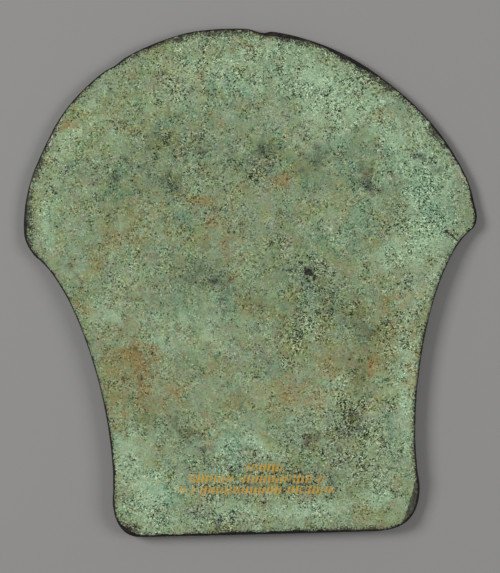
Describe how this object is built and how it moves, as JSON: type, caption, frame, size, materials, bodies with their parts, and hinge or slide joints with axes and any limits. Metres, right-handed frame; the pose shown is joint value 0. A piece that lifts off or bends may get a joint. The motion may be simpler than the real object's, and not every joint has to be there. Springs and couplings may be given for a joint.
{
  "type": "flat copper axe head",
  "caption": "Flat ancient copper axe head with a broad curved cutting edge, wing tips, hollowed flanks and a square butt, under a green patina.",
  "frame": {"origin": "middle of the outline's box, on the surface that the back face rests on", "axes": "+Y from the butt to the cutting edge, +Z out of the upper face, +X to the right seen from above"},
  "size_m": [0.142, 0.1598, 0.007],
  "materials": {
    "patinated_copper": "cast and hammered copper under a dry, grainy green patina with brown, ochre and dark spots"
  },
  "bodies": {
    "root": {"axe_head": "patinated_copper"}
  },
  "joints": []
}
